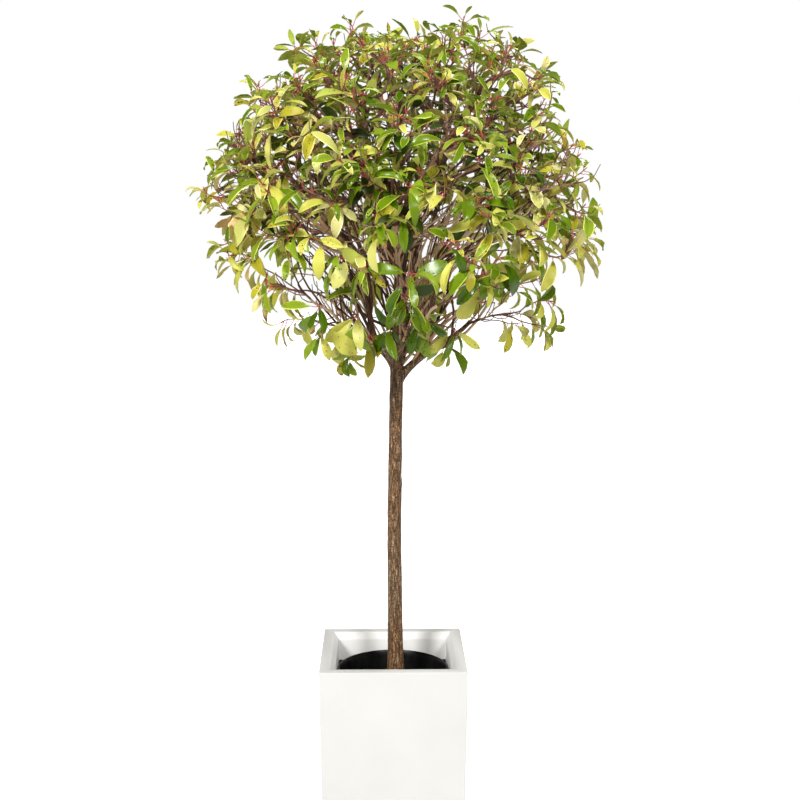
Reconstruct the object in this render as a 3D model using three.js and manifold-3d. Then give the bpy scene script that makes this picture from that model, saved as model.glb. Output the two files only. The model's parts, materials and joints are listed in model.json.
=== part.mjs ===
// Potted photinia standard: a ball-headed evergreen on one clear stem, in a round grower pot
// that stands inside a square planter. Millimetres, +Z up, origin on the underside of the
// planter, front of the plant towards -Y.
import * as THREE from "three";
import { mergeVertices } from "three/addons/utils/BufferGeometryUtils.js";
import Module from "manifold-3d";

const wasm = await Module();
wasm.setup();

// Clearance kept between neighbouring pieces
const GAP = 0.3;

// Square planter with a folded rim and a sloped lip under it
const PLANTER_TOP = 400;
const PLANTER_FOOT = 387;
const PLANTER_HEIGHT = 400;
const PLANTER_WALL = 9;
const PLANTER_FLOOR = 14;
const RIM_WIDTH = 29;
const LIP_RUN = 13;
const LIP_DROP = 20;

// Round grower pot and the soil in it
const POT_RIM_HEIGHT = 351;
const POT_RIM_RADIUS = 154;
const POT_RIM_DEPTH = 18;
const POT_RIM_STEP = 5;
const POT_FOOT_RADIUS = 124;
const POT_WALL = 3;
const SOIL_TOP = 302;
const SOIL_DISH = 6;
const SOIL_FLAT_RADIUS = 62;

// Clear stem: its lean is the axis offset from the middle of the planter
const TRUNK_BASE = SOIL_TOP + GAP;
const TRUNK_HEAD = 1252;
const TRUNK_LEAN_BASE = 8;
const TRUNK_LEAN_MIDDLE = 4;
const TRUNK_LEAN_HEAD = 12;
const TRUNK_RADIUS_BASE = 23;
const TRUNK_RADIUS_HEAD = 18;
const ROOT_FLARE = 8;
const ROOT_FLARE_HEIGHT = 45;

// Head of leaves: an egg-shaped envelope that the furthest tips reach
const HEAD = new THREE.Vector3(20, 0, 1646);
const HEAD_RADIUS = 568;
const HEAD_UP = 512;
const HEAD_DOWN = 478;

// Rings of boughs, each bough carrying one mass of leaves. turn and elevation in degrees give the
// way from the middle of the head to the mass; tipOut and tipUp place the bough's tip in shares of
// the head's radii; rise is the upward slope of its first stretch.
const RINGS = [
  { kind: "low", count: 5, turn: 0, elevation: -34, radius: 12.5, tipOut: 0.34, tipUp: -0.62, rise: 1.6 },
  { kind: "mid", count: 6, turn: 26, elevation: 4, radius: 9, tipOut: 0.3, tipUp: -0.2, rise: 3 },
  { kind: "top", count: 1, turn: 0, elevation: 90, radius: 15, tipOut: 0, tipUp: 0.22, rise: 0 },
  { kind: "high", count: 4, turn: 50, elevation: 46, radius: 7.5, tipOut: 0.24, tipUp: 0.2, rise: 2.4 },
];
const SITE_DEPTH = 0.66;
const BOUGH_TIP_SHARE = 0.45;
const BOUGH_LEAVE = 0.4;
const BOUGH_ARRIVE = 0.3;
const LOW_FORK_FIRST = 0.9;
const LOW_FORK_STEP = 0.02;
const MID_FORK = 0.42;
const HIGH_FORK_FIRST = 0.3;
const HIGH_FORK_STEP = 0.12;
const LIMB_CLEARANCE = 2;

// Shoots: tips spread over two shells of the head, with none round the trunk underneath
const SHELLS = [
  { shoots: 100, depth: 0.8 },
  { shoots: 22, depth: 0.54 },
];
const SHELL_JITTER = 0.05;
const TURN_JITTER = 0.1;
const BARE_BELOW = -0.86;
const CELL_MARGIN = 3;
const HUB_BACK = 0.35;
const TWIG_RADIUS = 5;
const TWIG_TIP_RADIUS = 3.2;
const TWIG_BEND = 0.45;
const TWIG_SINK = 3;

// Leaves: each stands for a pair or a small spray, so it is about twice life size
const LEAF_LENGTH = 165;
const LEAF_WIDTH = 80;
const LEAF_SIZES = [1, 0.88, 0.76, 0.62];
const LEAF_THICKNESS = 3.2;
const LEAF_THICKEST = 0.24;
const LEAF_FOLD = 0.25;
const LEAF_DROOP = 0.12;
const LEAF_SAG = 0.12;
const LEAF_FACE_UP = 0.7;
const LEAVES_ON_SHOOT = 7;
const LEAF_LEAN_TIP = 24;
const LEAF_LEAN_STEP = 9;
const LEAF_LEAN_SPREAD = 12;
const LEAF_ROOT = 4;
const LEAF_SINK = 1.5;

// Facets of round pieces, and the shortest edge kept in a fused mass
const ROUND_SEGMENTS = 24;
const TRUNK_SIDES = 14;
const TRUNK_STEPS = 12;
const BOUGH_SIDES = 6;
const BOUGH_STEPS = 5;
const STEM_STEPS = 3;
const TWIG_SIDES = 3;
const TWIG_STEPS = 2;
const SHORTEST_EDGE = 0.1;
const MERGE_WITHIN = 1e-4;

const SEED = 20261;
const GOLDEN_ANGLE = Math.PI * (3 - Math.sqrt(5));
const UP = new THREE.Vector3(0, 0, 1);
const EAST = new THREE.Vector3(1, 0, 0);

const PLANTER_FINISH = { color: 0xf3f2ec, roughness: 0.55, metalness: 0 };
const POT_FINISH = { color: 0x151514, roughness: 0.5, metalness: 0 };
const SOIL_FINISH = { color: 0x2a2019, roughness: 1, metalness: 0 };
const BARK_FINISH = { color: 0x6b5238, roughness: 0.9, metalness: 0 };
const LEAF_FINISH = { color: 0x7f8f38, roughness: 0.5, metalness: 0 };

const plant = new THREE.Group();

// Seeded random numbers from 0 to 1, the same on every run
function seeded(seed) {
  let state = seed >>> 0;
  return () => {
    state = (state + 0x6d2b79f5) >>> 0;
    let mixed = Math.imul(state ^ (state >>> 15), state | 1);
    mixed ^= mixed + Math.imul(mixed ^ (mixed >>> 7), mixed | 61);
    return ((mixed ^ (mixed >>> 14)) >>> 0) / 4294967296;
  };
}
const random = seeded(SEED);
const spread = (amount) => (random() * 2 - 1) * amount;

function addPiece(name, geometry, finish) {
  const mesh = new THREE.Mesh(geometry, new THREE.MeshStandardMaterial(finish));
  mesh.name = name;
  plant.add(mesh);
}

function numbered(name, number) {
  return `${name}_${String(number).padStart(2, "0")}`;
}

// Closed geometry to a solid that can be joined and cut
function solidOf(geometry) {
  const bare = geometry.clone();
  bare.deleteAttribute("normal");
  bare.deleteAttribute("uv");
  const merged = mergeVertices(bare, MERGE_WITHIN);
  const index = merged.getIndex().array;
  const triangles = [];
  for (let i = 0; i < index.length; i += 3) {
    const [a, b, c] = [index[i], index[i + 1], index[i + 2]];
    if (a !== b && b !== c && c !== a) {
      triangles.push(a, b, c);
    }
  }
  return new wasm.Manifold(new wasm.Mesh({
    numProp: 3,
    vertProperties: new Float32Array(merged.getAttribute("position").array),
    triVerts: new Uint32Array(triangles),
  }));
}

// The largest single body of a solid, as a geometry
function geometryOf(solid) {
  const bodies = solid.decompose();
  const main = bodies.reduce((best, body) => (body.volume() > best.volume() ? body : best));
  const mesh = main.getMesh();
  const geometry = new THREE.BufferGeometry();
  geometry.setAttribute("position", new THREE.BufferAttribute(new Float32Array(mesh.vertProperties), 3));
  geometry.setIndex(new THREE.BufferAttribute(new Uint32Array(mesh.triVerts), 1));
  geometry.computeVertexNormals();
  return geometry;
}

// A cylinder bent along a curve, with its radius given along the way
function limb(curve, radiusAt, sides, steps) {
  const geometry = new THREE.CylinderGeometry(1, 1, 1, sides, steps);
  const frames = curve.computeFrenetFrames(steps);
  const position = geometry.getAttribute("position");
  for (let i = 0; i < position.count; i++) {
    const step = Math.round((position.getY(i) + 0.5) * steps);
    const radius = radiusAt(step / steps);
    const point = curve.getPointAt(step / steps)
      .addScaledVector(frames.normals[step], position.getX(i) * radius)
      .addScaledVector(frames.binormals[step], -position.getZ(i) * radius);
    position.setXYZ(i, point.x, point.y, point.z);
  }
  return geometry;
}

// A profile of radius and height turned about the Z axis
function turned(profile, segments, start) {
  const points = profile.map(([radius, height]) => new THREE.Vector2(radius, height));
  return new THREE.LatheGeometry(points, segments, start).rotateX(Math.PI / 2);
}

// Planter: a square wall with a floor, its top folded inwards to a flat rim and a sloped lip
function planter() {
  const toCorner = Math.SQRT2;
  const top = PLANTER_TOP / 2;
  const foot = PLANTER_FOOT / 2;
  const rimInside = top - RIM_WIDTH;
  const lipInside = rimInside - LIP_RUN;
  const lipBottom = PLANTER_HEIGHT - LIP_DROP;
  const profile = [
    [0, 0],
    [foot, 0],
    [top, PLANTER_HEIGHT],
    [rimInside, PLANTER_HEIGHT],
    [lipInside, lipBottom],
    [lipInside + PLANTER_WALL, lipBottom],
    [rimInside + PLANTER_WALL / 2, PLANTER_HEIGHT - PLANTER_WALL],
    [top - PLANTER_WALL, PLANTER_HEIGHT - PLANTER_WALL],
    [foot - PLANTER_WALL, PLANTER_FLOOR],
    [0, PLANTER_FLOOR],
  ];
  return turned(profile.map(([half, height]) => [half * toCorner, height]), 4, Math.PI / 4);
}

// Grower pot: a thin tapered bucket with a stepped rim
const potBottom = PLANTER_FLOOR + GAP;
const potWaist = POT_RIM_HEIGHT - POT_RIM_DEPTH;
const potInnerTop = POT_RIM_RADIUS - POT_RIM_STEP - POT_WALL;
const potInnerFoot = POT_FOOT_RADIUS - POT_WALL;

function growerPot() {
  return turned([
    [0, potBottom],
    [POT_FOOT_RADIUS, potBottom],
    [POT_RIM_RADIUS - POT_RIM_STEP, potWaist],
    [POT_RIM_RADIUS, potWaist],
    [POT_RIM_RADIUS, POT_RIM_HEIGHT],
    [POT_RIM_RADIUS - POT_WALL, POT_RIM_HEIGHT],
    [potInnerTop, potWaist],
    [potInnerFoot, potBottom + POT_WALL],
    [0, potBottom + POT_WALL],
  ], ROUND_SEGMENTS, 0);
}

// Soil: fills the pot, flat under the stem and dished towards the wall
function pottingSoil() {
  const bottom = potBottom + POT_WALL + GAP;
  const wallTop = SOIL_TOP - SOIL_DISH;
  const rise = (wallTop - potBottom - POT_WALL) / (potWaist - potBottom - POT_WALL);
  const topRadius = THREE.MathUtils.lerp(potInnerFoot, potInnerTop, rise) - 2 * GAP;
  return turned([
    [0, bottom],
    [potInnerFoot - 2 * GAP, bottom],
    [topRadius, wallTop],
    [SOIL_FLAT_RADIUS, SOIL_TOP],
    [0, SOIL_TOP],
  ], ROUND_SEGMENTS, 0);
}

// Trunk: leaning a little, flared at the soil and tapering to the head
const trunkCurve = new THREE.CatmullRomCurve3([
  new THREE.Vector3(TRUNK_LEAN_BASE, 0, TRUNK_BASE),
  new THREE.Vector3(TRUNK_LEAN_BASE, 0, TRUNK_BASE + ROOT_FLARE_HEIGHT),
  new THREE.Vector3(TRUNK_LEAN_MIDDLE, 0, (TRUNK_BASE + TRUNK_HEAD) / 2),
  new THREE.Vector3(TRUNK_LEAN_HEAD, 0, TRUNK_HEAD),
]);

function trunkRadius(share) {
  const height = share * (TRUNK_HEAD - TRUNK_BASE);
  const flare = ROOT_FLARE * Math.exp(-height / ROOT_FLARE_HEIGHT);
  return THREE.MathUtils.lerp(TRUNK_RADIUS_BASE, TRUNK_RADIUS_HEAD, Math.sqrt(share)) + flare;
}

// Distance from the middle of the head to its envelope, in a direction
function headReach(direction) {
  const tall = direction.z > 0 ? HEAD_UP : HEAD_DOWN;
  const flat = direction.x ** 2 + direction.y ** 2;
  return 1 / Math.sqrt(flat / HEAD_RADIUS ** 2 + direction.z ** 2 / tall ** 2);
}

function insideHead(point) {
  const out = point.clone().sub(HEAD);
  const distance = out.length();
  return distance < headReach(out.divideScalar(Math.max(distance, 1)));
}

function direction(azimuth, elevation) {
  const flat = Math.cos(elevation);
  return new THREE.Vector3(Math.cos(azimuth) * flat, Math.sin(azimuth) * flat, Math.sin(elevation));
}

// Boughs: each a curve from its parent limb to the tip where its mass of leaves begins
const trunk = { curve: trunkCurve, radiusAt: trunkRadius, sides: TRUNK_SIDES, steps: TRUNK_STEPS };
const limbs = [trunk];
const boughs = [];

function nearestBough(kind, azimuth) {
  const facing = direction(azimuth, 0);
  const like = boughs.filter((bough) => bough.kind === kind);
  return like.reduce((best, bough) => (bough.facing.dot(facing) > best.facing.dot(facing) ? bough : best));
}

function boughStart(ring, order, azimuth) {
  if (ring.kind === "low") {
    return { parent: trunk, share: LOW_FORK_FIRST + order * LOW_FORK_STEP };
  }
  if (ring.kind === "mid") {
    return { parent: nearestBough("low", azimuth), share: MID_FORK };
  }
  if (ring.kind === "high") {
    return { parent: nearestBough("top", azimuth), share: HIGH_FORK_FIRST + order * HIGH_FORK_STEP };
  }
  return { parent: trunk, share: 1 };
}

for (const ring of RINGS) {
  for (let order = 0; order < ring.count; order++) {
    const azimuth = THREE.MathUtils.degToRad(ring.turn + (360 / ring.count) * order);
    const facing = direction(azimuth, 0);
    const { parent, share } = boughStart(ring, order, azimuth);
    const onTrunkTop = share === 1;
    const start = parent.curve.getPointAt(share);
    start.z += onTrunkTop ? GAP : 0;
    const tip = HEAD.clone()
      .addScaledVector(facing, ring.tipOut * HEAD_RADIUS)
      .addScaledVector(UP, ring.tipUp * HEAD_UP);
    const length = tip.distanceTo(start);
    const leave = onTrunkTop
      ? parent.curve.getTangentAt(1)
      : facing.clone().addScaledVector(UP, ring.rise).normalize();
    const radial = direction(azimuth, THREE.MathUtils.degToRad(ring.elevation));
    const site = HEAD.clone().addScaledVector(radial, SITE_DEPTH * headReach(radial));
    const arrive = site.clone().sub(tip).normalize();
    const curve = new THREE.CubicBezierCurve3(
      start,
      start.clone().addScaledVector(leave, length * BOUGH_LEAVE),
      tip.clone().addScaledVector(arrive, -length * BOUGH_ARRIVE),
      tip,
    );
    const radiusAt = (along) => ring.radius * THREE.MathUtils.lerp(1, BOUGH_TIP_SHARE, along);
    const bough = { kind: ring.kind, facing, curve, radiusAt, site, sides: BOUGH_SIDES, steps: BOUGH_STEPS };
    boughs.push(bough);
    limbs.push(bough);
  }
}

function limbSolid(one, extra) {
  return solidOf(limb(one.curve, (along) => one.radiusAt(along) + extra, one.sides, one.steps));
}

// Room round each limb that twigs and leaves keep out of
const limbRoom = limbs.map((one) => ({ solid: limbSolid(one, LIMB_CLEARANCE) }));

// Whether a point lies in a mass's own space: nearer to its site than to any other
function insideCell(bough, point, margin) {
  if (!insideHead(point)) {
    return false;
  }
  return boughs.every((other) => {
    if (other === bough) {
      return true;
    }
    const apart = other.site.clone().sub(bough.site);
    const middle = bough.site.clone().add(other.site).multiplyScalar(0.5);
    return point.clone().sub(middle).dot(apart.normalize()) < -margin;
  });
}

function allInside(bough, points, margin) {
  return points.every((point) => insideCell(bough, point, margin));
}

// Leaf blade: eight faces, thickest near its root, folded along its rib and drooping to its point
function leafBlade(root, along, face, length) {
  const side = face.clone().cross(along).normalize();
  const halfWidth = (LEAF_WIDTH / 2) * (length / LEAF_LENGTH);
  const blade = new THREE.OctahedronGeometry(1, 0);
  const position = blade.getAttribute("position");
  for (let i = 0; i < position.count; i++) {
    const [x, y, z] = [position.getX(i), position.getY(i), position.getZ(i)];
    const out = (x + 1) / 2 - Math.abs(z) * (0.5 - LEAF_THICKEST);
    const fold = Math.abs(y) * LEAF_FOLD * halfWidth;
    const droop = Math.max(x, 0) * LEAF_DROOP * length;
    const point = root.clone()
      .addScaledVector(along, out * length)
      .addScaledVector(side, y * halfWidth)
      .addScaledVector(face, (z * LEAF_THICKNESS) / 2 + fold - droop);
    position.setXYZ(i, point.x, point.y, point.z);
  }
  return blade;
}

function corners(geometry) {
  const position = geometry.getAttribute("position");
  const points = [];
  for (let i = 0; i < position.count; i++) {
    points.push(new THREE.Vector3().fromBufferAttribute(position, i));
  }
  return points;
}

// Shoot tips: a golden spiral over each shell of the head, dealt out to the nearest site
function shootTips() {
  const tips = [];
  for (const shell of SHELLS) {
    for (let i = 0; i < shell.shoots; i++) {
      const height = 1 - ((i + 0.5) / shell.shoots) * (1 - BARE_BELOW);
      const out = direction(i * GOLDEN_ANGLE + spread(TURN_JITTER), Math.asin(height));
      const depth = shell.depth + spread(SHELL_JITTER);
      tips.push(HEAD.clone().addScaledVector(out, depth * headReach(out)));
    }
  }
  return tips;
}

// Twig from a growing point to a shoot tip: a bent path, straight on each side of its middle,
// its foot sunk back into the wood that it grows from
function twigFrom(node, tip) {
  const reach = tip.distanceTo(node.point);
  const heading = tip.clone().sub(node.point).normalize();
  const foot = node.point.clone().addScaledVector(heading, -TWIG_SINK * random());
  const bend = node.point.clone().addScaledVector(node.along, reach * TWIG_BEND);
  const curve = new THREE.QuadraticBezierCurve3(foot, bend, tip);
  const middle = curve.getPointAt(0.5);
  const axis = tip.clone().sub(middle).normalize();
  const radiusAt = (along) => THREE.MathUtils.lerp(TWIG_RADIUS, TWIG_TIP_RADIUS, along);
  const geometry = limb(curve, radiusAt, TWIG_SIDES, TWIG_STEPS);
  return { curve, middle, tip, axis, geometry, solid: solidOf(geometry) };
}

// Leaves of one shoot, set spirally up its outer half, the last one at the tip
function shootLeaves(bough, twig, others) {
  const leaves = [];
  const turn = random() * Math.PI * 2;
  const { axis } = twig;
  const across = axis.clone().cross(Math.abs(axis.z) < Math.SQRT1_2 ? UP : EAST).normalize();
  for (let k = 0; k < LEAVES_ON_SHOOT; k++) {
    const share = 1 - k / LEAVES_ON_SHOOT;
    const round = across.clone().applyAxisAngle(axis, turn + k * GOLDEN_ANGLE);
    const lean = THREE.MathUtils.degToRad(LEAF_LEAN_TIP + k * LEAF_LEAN_STEP + spread(LEAF_LEAN_SPREAD));
    const along = axis.clone().multiplyScalar(Math.cos(lean)).addScaledVector(round, Math.sin(lean));
    along.addScaledVector(UP, -LEAF_SAG).normalize();
    const face = axis.clone().addScaledVector(UP, LEAF_FACE_UP);
    face.addScaledVector(along, -face.dot(along)).normalize();
    const root = twig.middle.clone().lerp(twig.tip, share)
      .addScaledVector(axis, -LEAF_ROOT)
      .addScaledVector(along, -LEAF_SINK);
    for (const size of LEAF_SIZES) {
      const blade = leafBlade(root, along, face, LEAF_LENGTH * size);
      const leaf = { solid: solidOf(blade), twig };
      if (allInside(bough, corners(blade), CELL_MARGIN) && !meets(leaf, [...others, ...leaves])) {
        leaves.push(leaf);
        break;
      }
    }
  }
  return leaves;
}

// Whether a twig or leaf cuts into another piece, other than the twig that it grows on
function meets(piece, others) {
  const box = piece.solid.boundingBox();
  return others.some((other) => {
    if (other === piece.twig) {
      return false;
    }
    const { min, max } = other.solid.boundingBox();
    const apart = [0, 1, 2].some((axis) => min[axis] > box.max[axis] || max[axis] < box.min[axis]);
    return !apart && !piece.solid.intersect(other.solid).isEmpty();
  });
}

// One mass: a stem that carries on from its bough, twigs to its shoot tips, and their leaves
function foliageMass(bough, tips) {
  const boughTip = bough.curve.getPointAt(1);
  const heading = bough.curve.getTangentAt(1);
  const stemFoot = boughTip.clone().addScaledVector(heading, GAP);
  const hub = bough.site.clone().lerp(boughTip, HUB_BACK);
  const reach = hub.distanceTo(stemFoot);
  const bend = stemFoot.clone().addScaledVector(heading, reach / 2);
  const stem = new THREE.QuadraticBezierCurve3(stemFoot, bend, hub);
  const footRadius = bough.radiusAt(1);
  const stemRadius = (along) => THREE.MathUtils.lerp(footRadius, TWIG_RADIUS, along);
  const wood = [{ solid: solidOf(limb(stem, stemRadius, BOUGH_SIDES, STEM_STEPS)) }];
  const nodes = [];
  for (let step = 1; step <= STEM_STEPS; step++) {
    nodes.push({ point: stem.getPointAt(step / STEM_STEPS), along: stem.getTangentAt(step / STEM_STEPS) });
  }
  const ordered = tips.toSorted((a, b) => a.distanceTo(stemFoot) - b.distanceTo(stemFoot));
  const twigs = [];
  for (const tip of ordered) {
    const cost = (node) => {
      const way = tip.clone().sub(node.point);
      return way.length() * (2 - way.normalize().dot(node.along));
    };
    const node = nodes.reduce((best, one) => (cost(one) < cost(best) ? one : best));
    const twig = twigFrom(node, tip);
    if (allInside(bough, corners(twig.geometry), CELL_MARGIN) && !meets(twig, limbRoom)) {
      twigs.push(twig);
      nodes.push({ point: twig.middle, along: twig.curve.getTangentAt(0.5) });
    }
  }
  wood.push(...twigs);
  const leaves = [];
  for (const twig of twigs) {
    leaves.push(...shootLeaves(bough, twig, [...limbRoom, ...wood, ...leaves]));
  }
  const whole = wasm.Manifold.union([...wood, ...leaves].map(({ solid }) => solid));
  return whole.asOriginal().simplify(SHORTEST_EDGE);
}

addPiece("planter", planter(), PLANTER_FINISH);
addPiece("grower_pot", growerPot(), POT_FINISH);
addPiece("potting_soil", pottingSoil(), SOIL_FINISH);

// Wood: a bough is cut clear of the trunk and of the boughs before it
const grown = [];
for (const [order, one] of limbs.entries()) {
  const whole = limbSolid(one, 0);
  const cut = grown.reduce((left, earlier) => left.subtract(earlier), whole);
  addPiece(order === 0 ? "trunk" : numbered("bough", order), geometryOf(cut), BARK_FINISH);
  grown.push(limbSolid(one, GAP));
}

// Leaves: every shoot tip goes to the mass whose site is nearest
const tipsOf = new Map(boughs.map((bough) => [bough, []]));
for (const tip of shootTips()) {
  const nearest = boughs.reduce((best, bough) => (
    bough.site.distanceTo(tip) < best.site.distanceTo(tip) ? bough : best
  ));
  tipsOf.get(nearest).push(tip);
}
for (const [order, bough] of boughs.entries()) {
  const mass = foliageMass(bough, tipsOf.get(bough));
  addPiece(numbered("foliage", order + 1), geometryOf(mass), LEAF_FINISH);
}

export default plant;
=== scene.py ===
"""Looks of a potted photinia standard: a ball head of leafy shoots on one clear stem, in a black
grower pot that stands inside a white square planter."""
import json
import math

import bpy
import numpy as np
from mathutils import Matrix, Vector, kdtree, noise

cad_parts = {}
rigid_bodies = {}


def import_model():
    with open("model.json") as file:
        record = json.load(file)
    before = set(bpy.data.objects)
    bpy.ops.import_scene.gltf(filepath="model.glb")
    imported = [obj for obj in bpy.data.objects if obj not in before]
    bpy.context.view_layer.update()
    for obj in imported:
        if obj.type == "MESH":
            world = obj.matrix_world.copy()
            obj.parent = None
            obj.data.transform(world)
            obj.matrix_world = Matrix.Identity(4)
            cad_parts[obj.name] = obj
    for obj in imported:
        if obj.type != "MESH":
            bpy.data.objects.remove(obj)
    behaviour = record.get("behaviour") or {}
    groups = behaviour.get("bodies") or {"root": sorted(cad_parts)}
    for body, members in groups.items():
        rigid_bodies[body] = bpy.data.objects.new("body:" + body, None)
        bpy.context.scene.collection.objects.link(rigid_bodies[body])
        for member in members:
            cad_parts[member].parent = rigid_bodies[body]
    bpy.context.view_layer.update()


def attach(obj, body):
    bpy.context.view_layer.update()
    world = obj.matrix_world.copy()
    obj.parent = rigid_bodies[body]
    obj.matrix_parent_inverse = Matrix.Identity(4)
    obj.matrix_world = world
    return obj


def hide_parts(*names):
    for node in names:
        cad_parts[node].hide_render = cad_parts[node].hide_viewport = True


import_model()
bpy.ops.object.select_all(action="DESELECT")

# Planter
# A square tub moulded in matt off-white plastic. Its top is folded inwards to a flat rim with a
# sloped lip, and the mould leaves every edge softly rounded.
TUB_TOP = 0.400
TUB_FOOT = 0.387
RIM_WIDTH = 0.029
TUB_EDGE = 0.0022
# Half width and height of each fold that follows the rim, down to the floor inside
TUB_INSIDE = ((0.1585, 0.381), (0.1570, 0.318), (0.1610, 0.318), (0.1880, 0.300), (0.1845, 0.014))
# Dull and clean white between which the plastic is clouded, outside, and inside a lighter white that
# is painted light against the shade in the tub
OUTSIDE_WHITES = ((0.610, 0.604, 0.576), (0.635, 0.629, 0.602))
INSIDE_PAINTED_LIGHT_WHITES = ((0.755, 0.748, 0.716), (0.785, 0.778, 0.745))
LEVEL = 0.9


def pick_faces(piece, up):
    """Edit mode, with only those faces selected that look straight up, or down where up is -1."""
    bpy.ops.object.mode_set(mode="EDIT")
    bpy.ops.mesh.select_mode(type="FACE")
    bpy.ops.mesh.select_all(action="DESELECT")
    bpy.ops.object.mode_set(mode="OBJECT")
    for face in piece.data.polygons:
        face.select = face.normal.z * up > LEVEL
    bpy.ops.object.mode_set(mode="EDIT")


def widen(share):
    """Scale what is selected about the upright axis."""
    bpy.ops.transform.resize(value=(share, share, 1), center_override=(0, 0, 0))


def fold_on(profile, width, height):
    """Extrude the selected face from fold to fold of a profile of widths and heights."""
    for next_width, next_height in profile:
        bpy.ops.mesh.extrude_region_move(
            TRANSFORM_OT_translate={"value": (0, 0, next_height - height)})
        widen(next_width / width)
        width, height = next_width, next_height


def settle():
    """Leave edit mode, and put the piece's place into its mesh."""
    bpy.ops.object.mode_set(mode="OBJECT")
    bpy.ops.object.transform_apply(location=True, rotation=True, scale=True)


def round_edges(piece, width, segments, angle):
    """Bevel every edge that is sharper than an angle in degrees."""
    edges = piece.modifiers.new("edges", "BEVEL")
    edges.width = width
    edges.segments = segments
    edges.limit_method = "ANGLE"
    edges.angle_limit = math.radians(angle)
    bpy.ops.object.modifier_apply(modifier=edges.name)
    bpy.ops.object.shade_smooth_by_angle(angle=math.radians(angle))


def new_finish(name, roughness):
    """A material, with its nodes and its shader."""
    finish = bpy.data.materials.new(name)
    finish.use_nodes = True
    shader = finish.node_tree.nodes["Principled BSDF"]
    shader.inputs["Roughness"].default_value = roughness
    return finish, finish.node_tree, shader


def grain_on(tree, stretch, scale, detail):
    """Noise in the piece's own space, stretched along its axes."""
    place = tree.nodes.new("ShaderNodeTexCoord")
    stretched = tree.nodes.new("ShaderNodeMapping")
    stretched.inputs["Scale"].default_value = stretch
    grain = tree.nodes.new("ShaderNodeTexNoise")
    grain.inputs["Scale"].default_value = scale
    grain.inputs["Detail"].default_value = detail
    tree.links.new(place.outputs["Object"], stretched.inputs["Vector"])
    tree.links.new(stretched.outputs["Vector"], grain.inputs["Vector"])
    return grain.outputs["Fac"]


def colours_from(tree, grain, stops):
    """Colours along a noise value."""
    ramp = tree.nodes.new("ShaderNodeValToRGB")
    while len(ramp.color_ramp.elements) < len(stops):
        ramp.color_ramp.elements.new(0.5)
    for element, (at, colour) in zip(ramp.color_ramp.elements, stops):
        element.position = at
        element.color = (*colour, 1)
    tree.links.new(grain, ramp.inputs["Fac"])
    return ramp.outputs["Color"]


def range_from(tree, grain, low, high):
    """A plain number from low to high along a noise value."""
    span = tree.nodes.new("ShaderNodeMapRange")
    span.inputs["To Min"].default_value = low
    span.inputs["To Max"].default_value = high
    tree.links.new(grain, span.inputs["Value"])
    return span.outputs["Result"]


def bumps_from(tree, shader, grain, strength, depth):
    """Fine bumps along a noise value."""
    bumps = tree.nodes.new("ShaderNodeBump")
    bumps.inputs["Strength"].default_value = strength
    bumps.inputs["Distance"].default_value = depth
    tree.links.new(grain, bumps.inputs["Height"])
    tree.links.new(bumps.outputs["Normal"], shader.inputs["Normal"])


def place_piece(piece, nodes=()):
    """Fix a finished piece to the plant's one body."""
    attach(piece, "root")
    if nodes:
        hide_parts(*nodes)


bpy.ops.mesh.primitive_cube_add(size=TUB_TOP, location=(0, 0, TUB_TOP / 2))
planter = bpy.context.object
planter.name = "planter_tub"
pick_faces(planter, up=-1)
widen(TUB_FOOT / TUB_TOP)
pick_faces(planter, up=1)
bpy.ops.mesh.inset(thickness=RIM_WIDTH)
fold_on(TUB_INSIDE, TUB_TOP / 2 - RIM_WIDTH, TUB_TOP)
settle()
round_edges(planter, TUB_EDGE, segments=3, angle=30)


def white_moulding(name, dull, clean):
    """Matt plastic, faintly clouded between a dull and a clean white."""
    finish, tree, shader = new_finish(name, roughness=0.5)
    cloud = grain_on(tree, stretch=(1, 1, 1), scale=7, detail=3)
    tree.links.new(
        colours_from(tree, cloud, ((0.3, dull), (0.7, clean))), shader.inputs["Base Color"])
    tree.links.new(range_from(tree, cloud, low=0.42, high=0.58), shader.inputs["Roughness"])
    pores = grain_on(tree, stretch=(1, 1, 1), scale=650, detail=2)
    bumps_from(tree, shader, pores, strength=0.06, depth=0.0004)
    return finish


planter.data.materials.append(white_moulding("matt_white_moulding", *OUTSIDE_WHITES))
planter.data.materials.append(white_moulding("matt_white_inside_painted_light", *INSIDE_PAINTED_LIGHT_WHITES))
# Faces inside the rim take the lighter white: painted light that lifts the shade on the inner walls
# and floor of the tub
for face in planter.data.polygons:
    x, y, z = face.center
    face.material_index = int(max(abs(x), abs(y)) < TUB_TOP / 2 - RIM_WIDTH and z > TUB_EDGE)
place_piece(planter, ["planter"])

# Grower pot
# A thin nursery pot moulded in black plastic with a slight sheen, stepped out below its rim.
# It stands loose on the planter's floor.
POT_FLOOR = 0.0143
POT_FOOT = 0.124
POT_WAIST = (0.1485, 0.329)
POT_SIDES = 96
# Radius and height of each fold: out to the rim, over it, and down to the floor inside
POT_FOLDS = (
    (0.149, 0.333), (0.154, 0.335), (0.154, 0.351), (0.1505, 0.351),
    (0.1462, 0.334), (0.121, 0.0173),
)
POT_EDGE = 0.0012
POT_BLACKS = ((0.35, (0.0025, 0.0025, 0.0025)), (0.75, (0.007, 0.007, 0.0066)))

waist_radius, waist_height = POT_WAIST
bpy.ops.mesh.primitive_cylinder_add(
    vertices=POT_SIDES, radius=POT_FOOT, depth=waist_height - POT_FLOOR,
    location=(0, 0, (waist_height + POT_FLOOR) / 2))
pot = bpy.context.object
pot.name = "nursery_pot"
pick_faces(pot, up=1)
widen(waist_radius / POT_FOOT)
fold_on(POT_FOLDS, waist_radius, waist_height)
settle()
round_edges(pot, POT_EDGE, segments=2, angle=25)

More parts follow.
